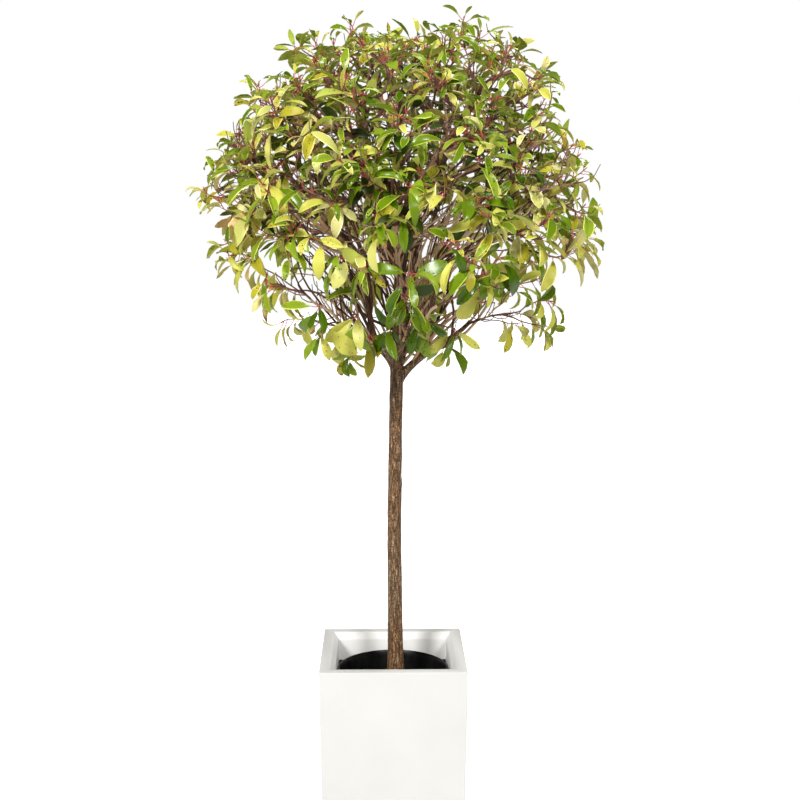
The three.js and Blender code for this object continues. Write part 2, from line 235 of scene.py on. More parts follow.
black_plastic, tree, shader = new_finish("black_nursery_plastic", roughness=0.4)
scuffs = grain_on(tree, stretch=(1, 1, 0.4), scale=60, detail=4)
tree.links.new(colours_from(tree, scuffs, POT_BLACKS), shader.inputs["Base Color"])
tree.links.new(range_from(tree, scuffs, low=0.22, high=0.42), shader.inputs["Roughness"])
shader.inputs["Specular IOR Level"].default_value = 0.14
bumps_from(tree, shader, scuffs, strength=0.1, depth=0.0005)
pot.data.materials.append(black_plastic)
place_piece(pot, ["grower_pot"])

# Potting soil
# Damp peat with bark crumbs, filled to five centimetres below the pot's rim and a little lower
# round its edge. The crumbs lie loose on top.
SOIL_TOP = 0.302
SOIL_FOOT = (0.1205, 0.0176)
SOIL_EDGE = (0.1425, 0.296)
SOIL_RINGS = 26
SOIL_SIDES = 96
SOIL_SKIN = 0.001
SOIL_LUMPS = 0.0035
LUMPS_PER_METRE = 55
LUMP_LAYER = 3
LUMP_NOISE = (1, 2, 4)
SOIL_BROWNS = (
    (0.3, (0.010, 0.007, 0.005)), (0.55, (0.034, 0.023, 0.015)), (0.8, (0.085, 0.058, 0.036)))
# Crumbs: count, radius, the share of it along each axis and at each corner, how far out they lie,
# and how far above the soil their middles are
CRUMBS = 420
CRUMB_SIZES = (0.002, 0.0052)
CRUMB_FLATNESS = (0.5, 1)
CRUMB_RAGGEDNESS = (0.7, 1.2)
CRUMB_SPREAD = 0.95
CRUMB_RISE = 0.3


def soil_height(x, y):
    """Height of the lumpy top of the soil."""
    out = math.hypot(x, y) / SOIL_EDGE[0]
    level = SOIL_TOP - (SOIL_TOP - SOIL_EDGE[1]) * out * out
    place = Vector((x * LUMPS_PER_METRE, y * LUMPS_PER_METRE, LUMP_LAYER))
    return level + SOIL_LUMPS * noise.fractal(place, *LUMP_NOISE)


edge_radius, edge_height = SOIL_EDGE
foot_radius, foot_height = SOIL_FOOT
bpy.ops.mesh.primitive_cylinder_add(
    vertices=SOIL_SIDES, radius=foot_radius, depth=edge_height - foot_height,
    location=(0, 0, (edge_height + foot_height) / 2))
soil = bpy.context.object
soil.name = "peat_fill"
pick_faces(soil, up=1)
widen(edge_radius / foot_radius)
for ring in range(SOIL_RINGS):
    bpy.ops.mesh.inset(thickness=edge_radius / (SOIL_RINGS + 1))
bpy.ops.mesh.poke()
settle()
for corner in soil.data.vertices:
    if corner.co.z > edge_height - SOIL_SKIN:
        corner.co.z = soil_height(corner.co.x, corner.co.y)
bpy.ops.object.shade_smooth()

peat, tree, shader = new_finish("damp_peat", roughness=0.9)
crumbs_grain = grain_on(tree, stretch=(1, 1, 1), scale=240, detail=5)
tree.links.new(colours_from(tree, crumbs_grain, SOIL_BROWNS), shader.inputs["Base Color"])
bumps_from(tree, shader, crumbs_grain, strength=0.7, depth=0.002)
soil.data.materials.append(peat)
place_piece(soil, ["potting_soil"])

CRUMB_CORNERS = np.array([
    (1, 0, 0), (-1, 0, 0), (0, 1, 0), (0, -1, 0), (0, 0, 1), (0, 0, -1)], float)
CRUMB_FACES = np.array([
    (0, 2, 4), (2, 1, 4), (1, 3, 4), (3, 0, 4), (2, 0, 5), (1, 2, 5), (3, 1, 5), (0, 3, 5)])


def mesh_from(name, corners, faces, smooth=True):
    """A joined mesh from arrays: corners, and a list of face arrays of three, four or more."""
    mesh = bpy.data.meshes.new(name)
    mesh.from_pydata(corners.tolist(), [], [face for some in faces for face in some.tolist()])
    mesh.polygons.foreach_set("use_smooth", np.full(len(mesh.polygons), smooth))
    mesh.validate()
    piece = bpy.data.objects.new(name, mesh)
    bpy.context.collection.objects.link(piece)
    return piece


def copies(faces, count, corners_each):
    """Faces of one small shape, repeated for each copy of it."""
    starts = np.arange(count)[:, None, None] * corners_each
    return (faces[None] + starts).reshape(-1, faces.shape[1])


strewn = np.random.default_rng(31)
crumb_corners = []
for crumb in range(CRUMBS):
    turn = strewn.uniform(0, 2 * math.pi)
    out = edge_radius * CRUMB_SPREAD * math.sqrt(strewn.uniform(0, 1))
    x, y = out * math.cos(turn), out * math.sin(turn)
    size = strewn.uniform(*CRUMB_SIZES) * strewn.uniform(*CRUMB_FLATNESS, 3)
    turned = np.linalg.qr(strewn.normal(size=(3, 3)))[0]
    if np.linalg.det(turned) < 0:
        turned[:, 0] *= -1
    ragged = CRUMB_CORNERS * size * strewn.uniform(*CRUMB_RAGGEDNESS, (len(CRUMB_CORNERS), 1))
    middle = (x, y, soil_height(x, y) + size.min() * CRUMB_RISE)
    crumb_corners.append(ragged @ turned.T + middle)
crumbs = mesh_from(
    "peat_crumbs", np.concatenate(crumb_corners),
    [copies(CRUMB_FACES, CRUMBS, len(CRUMB_CORNERS))], smooth=False)
crumbs.data.materials.append(peat)
place_piece(crumbs)

# Stem and boughs
# One clear stem, grown straight and a little leaning, flared at the soil, that forks into five low
# boughs, six that rise from those, and a leader with four more. Thin brown bark with grey streaks.
# Middle of the head, its half width, and its reach up and down
HEAD = np.array((0.020, 0.0, 1.646))
HEAD_RADIUS = 0.568
HEAD_UP = 0.512
HEAD_DOWN = 0.478
UP = np.array((0.0, 0.0, 1.0))
STEM_FOOT = 0.290
STEM_SOIL = 0.3023
STEM_HEAD = 1.252
# Heights, and how far to the right the stem stands there
STEM_LEAN = ((0.290, 0.008), (0.3473, 0.008), (0.777, 0.004), (1.252, 0.012))
STEM_RADII = (0.023, 0.018)
STEM_KNOTS = 97
BEND_KNOTS = 25
ROOT_FLARE = 0.008
ROOT_FLARE_HEIGHT = 0.045
# Rings of boughs: kind, count, turn and elevation of their masses of leaves in degrees, radius,
# place of the tip outwards and upwards in shares of the head, and slope of the first stretch
RINGS = (
    ("low", 5, 0, -34, 0.0132, 0.34, -0.62, 1.6),
    ("mid", 6, 26, 4, 0.009, 0.3, -0.2, 3),
    ("top", 1, 0, 90, 0.014, 0, 0.22, 0),
    ("high", 4, 50, 46, 0.0075, 0.24, 0.2, 2.4),
)
# Where boughs leave their parent limb, in shares of its length, and how far apart
LOW_FEET = (0.9, 0.02)
MID_FEET = 0.42
HIGH_FEET = (0.3, 0.12)
SITE_DEPTH = 0.66
BOUGH_TIP_SHARE = 0.45
BOUGH_TAPER = 0.75
BOUGH_LEAVE = 0.4
BOUGH_ARRIVE = 0.3
BOUGH_COLLAR = 0.3
COLLAR_LENGTH = 0.03
BARK_VOXEL = 0.0024
LIMB_KNOTS = 49


def unit(way):
    """A way, or an array of ways, of length one."""
    return way / np.linalg.norm(way, axis=-1, keepdims=True)


def direction(azimuth, elevation):
    """The way that points to an azimuth and an elevation."""
    flat = math.cos(elevation)
    return np.array((math.cos(azimuth) * flat, math.sin(azimuth) * flat, math.sin(elevation)))


def head_reach(way):
    """Distance from the middle of the head to its envelope, along a direction."""
    tall = HEAD_UP if way[2] > 0 else HEAD_DOWN
    flat = way[0] ** 2 + way[1] ** 2
    return 1 / math.sqrt(flat / HEAD_RADIUS ** 2 + way[2] ** 2 / tall ** 2)


def bezier(knots, shares):
    """Points along a curve of four knots."""
    share = np.asarray(shares)[:, None]
    rest = 1 - share
    a, b, c, d = knots
    return rest ** 3 * a + 3 * rest ** 2 * share * b + 3 * rest * share ** 2 * c + share ** 3 * d


def lengths_along(points):
    """Length of a path up to each of its points."""
    steps = np.linalg.norm(np.diff(points, axis=0), axis=1)
    return np.concatenate(((0,), np.cumsum(steps)))


def point_along(points, share):
    """The point at a share of a path's length."""
    run = lengths_along(points)
    return np.array([np.interp(share * run[-1], run, points[:, axis]) for axis in range(3)])


heights = np.linspace(STEM_FOOT, STEM_HEAD, STEM_KNOTS)
lean_heights, leans = np.array(STEM_LEAN).T
bends = np.interp(heights, lean_heights, leans)
bends = np.pad(bends, BEND_KNOTS // 2, mode="edge")
bends = np.convolve(bends, np.full(BEND_KNOTS, 1 / BEND_KNOTS), mode="valid")
stem_points = np.stack((bends, np.zeros_like(heights), heights), 1)
stem_shares = np.clip((heights - STEM_SOIL) / (STEM_HEAD - STEM_SOIL), 0, 1)
stem_radii = STEM_RADII[0] + (STEM_RADII[1] - STEM_RADII[0]) * np.sqrt(stem_shares)
stem_radii = stem_radii + ROOT_FLARE * np.exp(-(heights - STEM_SOIL) / ROOT_FLARE_HEIGHT)
stem = {"points": stem_points, "radii": stem_radii}
above_soil = stem_points[heights >= STEM_SOIL]


def nearest_bough(kind, facing):
    """The bough of a kind that points most nearly the same way."""
    like = [bough for bough in boughs if bough["kind"] == kind]
    return max(like, key=lambda bough: bough["facing"] @ facing)


def bough_foot(kind, order, facing):
    """Where a bough leaves its parent limb."""
    if kind == "low":
        return point_along(above_soil, LOW_FEET[0] + LOW_FEET[1] * order)
    if kind == "mid":
        return point_along(nearest_bough("low", facing)["points"], MID_FEET)
    if kind == "high":
        parent = nearest_bough("top", facing)
        return point_along(parent["points"], HIGH_FEET[0] + HIGH_FEET[1] * order)
    return stem_points[-1]


boughs = []
for kind, count, turn, elevation, radius, tip_out, tip_up, rise in RINGS:
    for order in range(count):
        azimuth = math.radians(turn + 360 / count * order)
        facing = direction(azimuth, 0)
        foot = bough_foot(kind, order, facing)
        tip = HEAD + facing * tip_out * HEAD_RADIUS + UP * tip_up * HEAD_UP
        length = np.linalg.norm(tip - foot)
        leave = stem_points[-1] - stem_points[-2] if kind == "top" else facing + UP * rise
        out = direction(azimuth, math.radians(elevation))
        site = HEAD + out * SITE_DEPTH * head_reach(out)
        arrive = unit(site - tip)
        knots = (
            foot, foot + unit(leave) * length * BOUGH_LEAVE,
            tip - arrive * length * BOUGH_ARRIVE, tip)
        points = bezier(knots, np.linspace(0, 1, LIMB_KNOTS))
        run = lengths_along(points)
        radii = radius * (1 - (1 - BOUGH_TIP_SHARE) * np.power(run / run[-1], BOUGH_TAPER))
        radii = radii * (1 + BOUGH_COLLAR * np.exp(-run / COLLAR_LENGTH))
        boughs.append({
            "kind": kind, "facing": facing, "points": points, "radii": radii, "site": site})


def round_limb(name, points, radii):
    """A round limb swept along its path."""
    path = bpy.data.curves.new(name, "CURVE")
    path.dimensions = "3D"
    path.bevel_depth = 1
    path.bevel_resolution = 4
    path.use_fill_caps = True
    spline = path.splines.new("POLY")
    spline.points.add(len(points) - 1)
    for knot, point, radius in zip(spline.points, points, radii):
        knot.co = (*point, 1)
        knot.radius = radius
    limb = bpy.data.objects.new(name, path)
    bpy.context.collection.objects.link(limb)
    return limb


limbs = [stem, *boughs]
bpy.ops.object.select_all(action="DESELECT")
for order, limb in enumerate(limbs):
    swept = round_limb(f"limb_{order}", limb["points"], limb["radii"])
    swept.select_set(True)
    bpy.context.view_layer.objects.active = swept
bpy.ops.object.convert(target="MESH")
bpy.ops.object.join()
bark = bpy.context.object
bark.name = "stem_and_boughs"
bark.data.remesh_voxel_size = BARK_VOXEL
bpy.ops.object.voxel_remesh()
flow = bark.modifiers.new("flow", "SMOOTH")
flow.factor = 0.5
flow.iterations = 5
bpy.ops.object.modifier_apply(modifier=flow.name)

# The bark's relief: long ridges that follow each limb, slow swellings, and on the clear stem the
# scars of cut shoots and lobes round its foot
RIDGE_DEPTH = 0.06
RIDGES_ROUND = 190
RIDGES_ALONG = 16
RIDGE_NOISE = (0.9, 2.1, 4)
SWELL_DEPTH = 0.05
SWELLS_ROUND = 0.9
SWELLS_ALONG = 13
SWELL_SHIFT = Vector((7, 3, 1))
CLEAR_STEM_TOP = 1.2
# Scars: height, turn round the stem, and depth
SCARS = (
    (0.47, 4.4, 0.0030), (0.58, 1.2, 0.0026), (0.66, 5.2, 0.0028), (0.79, 3.9, 0.0024),
    (0.88, 0.4, 0.0026), (0.96, 4.9, 0.0030), (1.07, 4.2, 0.0028), (1.12, 2.4, 0.0030),
)
SCAR_WIDTH = 0.011
SCAR_SQUAT = 0.8
SCAR_PIT = 0.9
SCAR_PIT_NARROWNESS = 8
SCAR_END = 3
ROOT_LOBES = 5
ROOT_LOBE_TURN = 0.6
ROOT_LOBE_DEPTH = 0.0035
ROOT_LOBE_HEIGHT = 0.028

tracks = kdtree.KDTree(sum(len(limb["points"]) for limb in limbs))
track_of = []
for limb in limbs:
    ways = unit(np.gradient(limb["points"], axis=0))
    for point, way, run, radius in zip(
            limb["points"], ways, lengths_along(limb["points"]), limb["radii"]):
        tracks.insert(Vector(point), len(track_of))
        track_of.append((Vector(point), Vector(way), run, radius))
tracks.balance()
relief = []
for corner in bark.data.vertices:
    point, way, run, radius = track_of[tracks.find(corner.co)[1]]
    off = corner.co - point
    run += off.dot(way)
    side = (off - way * off.dot(way)).normalized()
    ridge_place = side * (radius * RIDGES_ROUND) + way * (run * RIDGES_ALONG)
    ridge = noise.fractal(ridge_place, *RIDGE_NOISE)
    swell = noise.noise(side * SWELLS_ROUND + way * (run * SWELLS_ALONG) + SWELL_SHIFT)
    rise = radius * (RIDGE_DEPTH * ridge + SWELL_DEPTH * swell)
    height = corner.co.z
    if height < CLEAR_STEM_TOP:
        angle = math.atan2(side.y, side.x)
        lobe = math.sin(angle * ROOT_LOBES + ROOT_LOBE_TURN)
        rise += ROOT_LOBE_DEPTH * lobe * math.exp(-(height - STEM_SOIL) / ROOT_LOBE_HEIGHT)
        for scar_height, scar_angle, scar_depth in SCARS:
            round_way = math.remainder(angle - scar_angle, 2 * math.pi) * radius
            apart = math.hypot(round_way, (height - scar_height) * SCAR_SQUAT) / SCAR_WIDTH
            if apart < SCAR_END:
                pit = SCAR_PIT * math.exp(-SCAR_PIT_NARROWNESS * apart * apart)
                rise += scar_depth * math.exp(-apart * apart) * (1 - pit)
    relief.append(rise)
normals = np.empty(len(bark.data.vertices) * 3)
bark.data.vertex_normals.foreach_get("vector", normals)
corners = np.empty_like(normals)
bark.data.vertices.foreach_get("co", corners)
corners += normals * np.repeat(relief, 3)
bark.data.vertices.foreach_set("co", corners)
bark.data.update()
bpy.ops.object.shade_smooth()

# Colour sockets of a mix: what it starts from, what it adds, and what comes out
MIX_FROM, MIX_TO, MIX_OUT = 6, 7, 2


def mixed(tree, first, second, blend):
    """Two colours mixed or multiplied, as a node whose factor is still to be set."""
    mix = tree.nodes.new("ShaderNodeMix")
    mix.data_type = "RGBA"
    mix.blend_type = blend
    tree.links.new(first, mix.inputs[MIX_FROM])
    tree.links.new(second, mix.inputs[MIX_TO])
    return mix


brown_bark, tree, shader = new_finish("brown_streaked_bark", roughness=0.75)
streaks = grain_on(tree, stretch=(1, 1, 0.14), scale=260, detail=6)
flecks = grain_on(tree, stretch=(1, 1, 0.55), scale=390, detail=4)
patches = grain_on(tree, stretch=(1, 1, 0.3), scale=30, detail=3)
brown = colours_from(tree, streaks, (
    (0.30, (0.033, 0.012, 0.0045)), (0.46, (0.124, 0.059, 0.020)),
    (0.58, (0.228, 0.122, 0.047)), (0.74, (0.520, 0.355, 0.205))))
grey = colours_from(tree, streaks, (
    (0.32, (0.062, 0.033, 0.0155)), (0.52, (0.175, 0.109, 0.059)), (0.70, (0.520, 0.400, 0.266))))
cracks = colours_from(tree, flecks, (
    (0.37, (0.10, 0.06, 0.04)), (0.46, (0.74, 0.69, 0.62)), (0.58, (1.05, 1.03, 1.0)),
    (0.68, (1.9, 1.85, 1.7))))
patched = mixed(tree, brown, grey, "MIX")
tree.links.new(range_from(tree, patches, low=-1.1, high=1.5), patched.inputs["Factor"])
cracked = mixed(tree, patched.outputs[MIX_OUT], cracks, "MULTIPLY")
cracked.inputs["Factor"].default_value = 1
tree.links.new(cracked.outputs[MIX_OUT], shader.inputs["Base Color"])
shader.inputs["Specular IOR Level"].default_value = 0.45
tree.links.new(range_from(tree, streaks, low=0.6, high=0.32), shader.inputs["Roughness"])
bumps_from(tree, shader, flecks, strength=0.9, depth=0.002)
bark.data.materials.append(brown_bark)
bough_nodes = [f"bough_{order:02d}" for order in range(1, len(boughs) + 1)]
place_piece(bark, ["trunk", *bough_nodes])

# Twigs
# Brown rods leave the boughs side by side, broom-like, and branch on into slim twigs towards shoot
# tips spread over the head. Each is as thick as the shoots it feeds need, with short bare spurs.
GOLDEN_TURN = math.pi * (3 - math.sqrt(5))
# Shells of tips: kind, count, depth and its spread in shares of the head, highest and lowest tip.
# Rods rise from the boughs and poles from the leader, leafy shoots end the twigs, and whips are
# bare.
TIP_SHELLS = (
    ("shoot", 440, 0.84, 0.06, 1.0, -0.74), ("shoot", 90, 0.66, 0.08, 1.0, -0.1),
    ("shoot", 16, 0.44, 0.08, 1.0, 0.0), ("rod", 100, 0.6, 0.14, 0.6, -0.8),
    ("pole", 54, 0.4, 0.14, 0.6, -0.35), ("whip", 40, 0.82, 0.06, 0.9, -0.3),
    ("whip", 36, 0.87, 0.04, 0.6, -0.1))
TURN_JITTER = 0.12
# Share of shoots left out at the most, and how far down and how fast that is reached
THINNING = 0.85
THINNING_START = 0.2
THINNING_RATE = 2.2
# Shoots of a shell stand in sprays of about this many, drawn together by this share, and each
# spray stands out or back by up to this share of the head
SPRAY_SIZE = 4
SPRAY_PULL = 0.4
SPRAY_DEPTH = 0.07
# Stray low shoots under the head: kind, azimuth in degrees, height of their way out, and depth.
# Pale ones have few leaves, and those hang.
STRAYS = (
    ("pale", -158, -0.94, 0.9), ("shoot", -125, -0.93, 0.76), ("pale", -20, -0.94, 0.84),
    ("shoot", -8, -0.64, 0.97), ("shoot", 14, -0.64, 0.93), ("shoot", 100, -0.92, 0.8),
    ("pale", 160, -0.9, 0.86), ("shoot", -100, -0.86, 0.74), ("shoot", -75, -0.8, 0.68),
    ("shoot", -58, -0.88, 0.72), ("shoot", -122, -0.8, 0.72), ("shoot", -88, -0.7, 0.64),
    ("shoot", -45, -0.85, 0.78))
# Where the head bulges or falls short of an even egg: direction, share of its reach, narrowness
BULGES = (
    ((0.3, 0.0, 0.95), 0.03, 18), ((0.64, 0.0, 0.77), 0.12, 16), ((-0.5, 0.0, 0.87), 0.05, 14),
    ((-0.2, 0.0, 0.98), -0.05, 30), ((-0.85, 0.0, 0.5), -0.1, 20), ((-0.75, 0.0, -0.68), -0.02, 8),
    ((0.75, 0.0, -0.68), 0.05, 9), ((0.86, 0.0, 0.5), -0.05, 30), ((1.0, 0.0, 0.22), -0.17, 24),
    ((1.0, 0.0, -0.05), 0.09, 24), ((-1.0, 0.0, 0.2), 0.06, 60), ((-1.0, 0.0, -0.06), -0.05, 40))
LEAFY = ("shoot", "pale")
STOUT = ("rod", "pole")
# A mass's stem ends short of its middle by this share. Twigs leave the bough, that stem and each
# other at these shares of their length, and rods and poles at a bough's first few of them.
HUB_BACK = 0.35
BOUGH_NODES = (0.1, 0.22, 0.34, 0.46, 0.6, 0.72, 0.84, 0.95)
BROOM_NODES = 5
STEM_NODES = (0.2, 0.4, 0.6, 0.8, 1.0)
STEM_STEP = 0.05
TWIG_NODES = (0.3, 0.5, 0.7, 0.86)
TWIG_STEP = 0.04
DETOUR_COST = 0.75
# A twig's way: how far it runs straight on at both ends, how it strays, and how it turns up
TWIG_LEAVE = 0.42
TWIG_ARRIVE = 0.3
TWIG_SWAY = 0.04
TWIG_WAVER = (0.018, 0.011)
LEAVE_JITTER = {"shoot": 0.0, "pale": 0.0, "rod": 0.32, "pole": 0.4, "whip": 0.12}
ARRIVE_JITTER = 0.12
LIFT = (0.4, 0.75)
LOW_LIFT = (0.25, 0.5)
LOW_LIFT_BELOW = -0.3
# Its girth: at the tip, the gain with the shoots that it feeds, the least of a rod, and its collar
TWIG_TIP = 0.0019
TWIG_GAIN = 0.46
ROD_GIRTH = (0.0026, 0.0046)
ROD_TAPER = 0.55
TWIG_COLLAR = 0.35
TWIG_COLLAR_FADE = 14
TWIG_SIDES = 6
DENSE_KNOTS = 41
END_KNOTS = 4
OLD_KNOTS = 11
OLD_LEAST = 0.12
YOUNG_KNOTS = 6
YOUNG_LENGTH = (0.08, 0.17)
YOUNG_TIP = 0.7
YOUNG_COLOUR = (134, 93, 81)
# Spurs on each twig: count, place, way, length and girth
SPURS = 2
SPUR_PLACES = (0.25, 0.9)
SPUR_STEP = 0.03
SPUR_FORWARD = 0.8
SPUR_JITTER = 0.45
SPUR_BOW = 0.7
SPUR_RISE = 0.6
SPUR_LENGTH = (0.02, 0.085)
SPUR_RADII = (0.0016, 0.0010)
SPUR_KNOTS = 4
SPUR_SIDES = 4
SPUR_COLOUR = (124, 95, 76)

growth = np.random.default_rng(20261)


def lumpy_reach(out):
    """The head's reach along a direction, with its bulges and hollows."""
    reach = head_reach(out)
    return reach * (1 + sum(
        share * max(0, out @ unit(np.array(way))) ** narrow for way, share, narrow in BULGES))


def spiral(count, highest, lowest):
    """Heights and turns of points spread evenly over a ball, in a golden spiral."""
    numbers = np.arange(count)
    return highest - (numbers + 0.5) / count * (highest - lowest), numbers * GOLDEN_TURN


def shoot_tips():
    """Shoot tips spread in sprays over each shell of the head, with their ways outwards."""
    tips = []
    for kind, count, depth, spread, highest, lowest in TIP_SHELLS:
        sprays = np.array([
            direction(turn, math.asin(height))
            for height, turn in zip(*spiral(count // SPRAY_SIZE, highest, lowest))])
        stand = growth.uniform(-SPRAY_DEPTH, SPRAY_DEPTH, len(sprays))
        for height, turn in zip(*spiral(count, highest, lowest)):
            out = direction(turn + growth.uniform(-TURN_JITTER, TURN_JITTER), math.asin(height))
            nearest = np.argmax(sprays @ out)
            out = unit(out + (sprays[nearest] - out) * SPRAY_PULL)
            reach = (depth + stand[nearest] + growth.uniform(-spread, spread)) * lumpy_reach(out)
            bare_below = THINNING * min(1, max(0, -THINNING_START - THINNING_RATE * height))
            if kind != "shoot" or growth.uniform() > bare_below:
                tips.append((HEAD + out * reach, out, kind))
    for kind, azimuth, height, depth in STRAYS:
        out = direction(math.radians(azimuth), math.asin(height))
        tips.append((HEAD + out * depth * head_reach(out), out, kind))
    return tips


def twig_points(twig, shares):
    """Points along a twig: a smooth curve with a slight waver."""
    turns = math.pi * np.asarray(shares)[:, None]
    slow, quick = twig["waver"]
    return bezier(twig["knots"], shares) + np.sin(2 * turns) * slow + np.sin(5 * turns) * quick


def leaving_cost(node, tip):
    """Cost of a twig from a growing point: its length, its turn, and the wood behind the point."""
    way = tip - node[0]
    length = np.linalg.norm(way)
    return length * (2 - way @ node[1] / length) + DETOUR_COST * node[2]


def grow_mass(bough, tips, twigs):
    """Twigs of one mass: rods from its bough's lower part, and then each shoot to its tip from the
    growing point that costs least to leave."""
    foot, heading = bough["points"][-1], unit(bough["points"][-1] - bough["points"][-2])
    hub = bough["site"] + (foot - bough["site"]) * HUB_BACK
    reach = np.linalg.norm(hub - foot)
    middle = foot + heading * reach / 2
    stem_knots = (foot, (foot + 2 * middle) / 3, (hub + 2 * middle) / 3, hub)
    # Growing points: place, way, length of wood behind, number of their twig, and share along it
    nodes = []
    for share in BOUGH_NODES:
        at = int(share * (LIMB_KNOTS - 1))
        way = unit(bough["points"][at + 1] - bough["points"][at])
        nodes.append((bough["points"][at], way, 0.0, -1, 0.0))
    twigs.append({
        "knots": stem_knots, "waver": np.zeros((2, 3)), "parent": -1, "share": 0.0, "bears": False,
        "whip": False, "girth": 0.0})
    for share in STEM_NODES:
        points = bezier(stem_knots, (share - STEM_STEP, share))
        nodes.append((points[1], unit(points[1] - points[0]), share * reach, len(twigs) - 1, share))
    for tip, out, kind in sorted(
            tips, key=lambda one: (one[2] not in STOUT, np.linalg.norm(one[0] - foot))):
        start = nodes[growth.integers(BROOM_NODES)]
        if kind not in STOUT:
            start = min(nodes[BROOM_NODES - 1:], key=lambda node: leaving_cost(node, tip))
        point, along, run, parent, share = start
        length = np.linalg.norm(tip - point)
        lift = growth.uniform(*(LIFT if out[2] > LOW_LIFT_BELOW else LOW_LIFT))
        arrive = unit(out * (1 - lift) + UP * lift + growth.normal(0, ARRIVE_JITTER, 3))
        if kind == "whip":
            arrive = unit(tip - point)
        leave = unit(along + growth.normal(0, LEAVE_JITTER[kind], 3))
        sway = growth.normal(0, TWIG_SWAY, (2, 3)) * length
        knots = (
            point, point + leave * length * TWIG_LEAVE + sway[0],
            tip - arrive * length * TWIG_ARRIVE + sway[1], tip)
        waver = growth.normal(0, 1, (2, 3)) * np.array(TWIG_WAVER)[:, None] * length
        twig = {"knots": knots, "waver": waver, "parent": parent, "share": share,
                "bears": kind in LEAFY, "pale": kind == "pale", "whip": kind == "whip", "out": out,
                "girth": growth.uniform(*ROD_GIRTH) if kind in STOUT else 0.0}
        twigs.append(twig)
        for side_share in TWIG_NODES:
            points = twig_points(twig, (side_share - TWIG_STEP, side_share))
            nodes.append((
                points[1], unit(points[1] - points[0]), run + side_share * length,
                len(twigs) - 1, side_share))


tips = shoot_tips()
sites = np.array([bough["site"] for bough in boughs])
leader = [bough["kind"] for bough in boughs].index("top")
owners = [
    leader if kind == "pole" else int(np.argmin(np.linalg.norm(sites - tip, axis=1)))
    for tip, out, kind in tips]
twigs = []
for order, bough in enumerate(boughs):
    grow_mass(bough, [one for one, owner in zip(tips, owners) if owner == order], twigs)

# Each twig's load: the shoots that its wood feeds beyond a share of its length
fed = [[] for twig in twigs]
for number in range(len(twigs) - 1, -1, -1):
    twig = twigs[number]
    twig["fed"] = sorted(fed[number])
    if twig["parent"] >= 0:
        fed[twig["parent"]].append((twig["share"], 1 + sum(load for share, load in twig["fed"])))


def twig_radii(twig, shares):
    """Radii along a twig, by the shoots that it feeds from there on."""
    loads = [1 + sum(load for at, load in twig["fed"] if at >= share) for share in shares]
    grown = twig["girth"] * (1 - ROD_TAPER * np.asarray(shares))
    radii = np.maximum(TWIG_TIP * np.power(loads, TWIG_GAIN), grown)
    return radii * (1 + TWIG_COLLAR * np.exp(-np.asarray(shares) * TWIG_COLLAR_FADE))


def tubes(paths, radii, sides):
    """Closed round tubes along paths of equally many points: corners and faces."""
    count, steps = radii.shape
    ways = unit(np.gradient(paths, axis=1))
    extent = np.abs(paths[:, -1] - paths[:, 0])
    aside = np.eye(3)[np.argmin(extent, axis=1)][:, None, :]
    first = unit(np.cross(ways, aside))
    second = np.cross(ways, first)
    turns = np.arange(sides) * 2 * math.pi / sides
    rings = (
        first[:, :, None] * np.cos(turns)[:, None] + second[:, :, None] * np.sin(turns)[:, None])
    corners = paths[:, :, None] + rings * radii[:, :, None, None]
    around = np.arange(sides)
    after = (around + 1) % sides
    walls = [
        np.stack((around + i * sides, after + i * sides,
                  after + (i + 1) * sides, around + (i + 1) * sides), 1)
        for i in range(steps - 1)]
    ends = [around[None, ::-1], around[None] + (steps - 1) * sides]
    each = steps * sides
    faces = [copies(some, count, each) for some in (*walls, *ends)]
    return corners.reshape(-1, 3), faces


def add_tubes(name, paths, radii, sides, finish, slot):
    """One piece of round tubes along paths."""
    corners, faces = tubes(np.array(paths), np.array(radii), sides)
    piece = mesh_from(name, corners, faces)
    piece.data.materials.append(finish)
    place_piece(piece)


def screen(red, green, blue):
    """A colour as seen on a screen, from 0 to 255, as the light it sends back."""
    shares = np.array((red, green, blue)) / 255
    light = np.where(shares <= 0.04045, shares / 12.92, ((shares + 0.055) / 1.055) ** 2.4)
    return (*light.tolist(), 1)


def plain_finish(name, colour, roughness, shine):
    """A material of one colour, as seen on a screen."""
    finish, tree, shader = new_finish(name, roughness)
    shader.inputs["Base Color"].default_value = screen(*colour)
    shader.inputs["Specular IOR Level"].default_value = shine
    return finish


# Colours of the wood: the first three on rods, the last three on slim twigs, and the last on whips.
# Wood that ends above the middle of the head takes a darker one.
TWIG_TINTS = (
    ("grey", (221, 193, 160)), ("brown", (203, 165, 131)), ("dark", (92, 64, 49)),
    ("mauve", (152, 119, 107)))
ROD_TINTS = 3
WHIP_TINT = 3
DARKER_TINTS = (1, 2, 2, 3)
ROD_RADIUS = 0.0026
DARK_ABOVE = 0.06

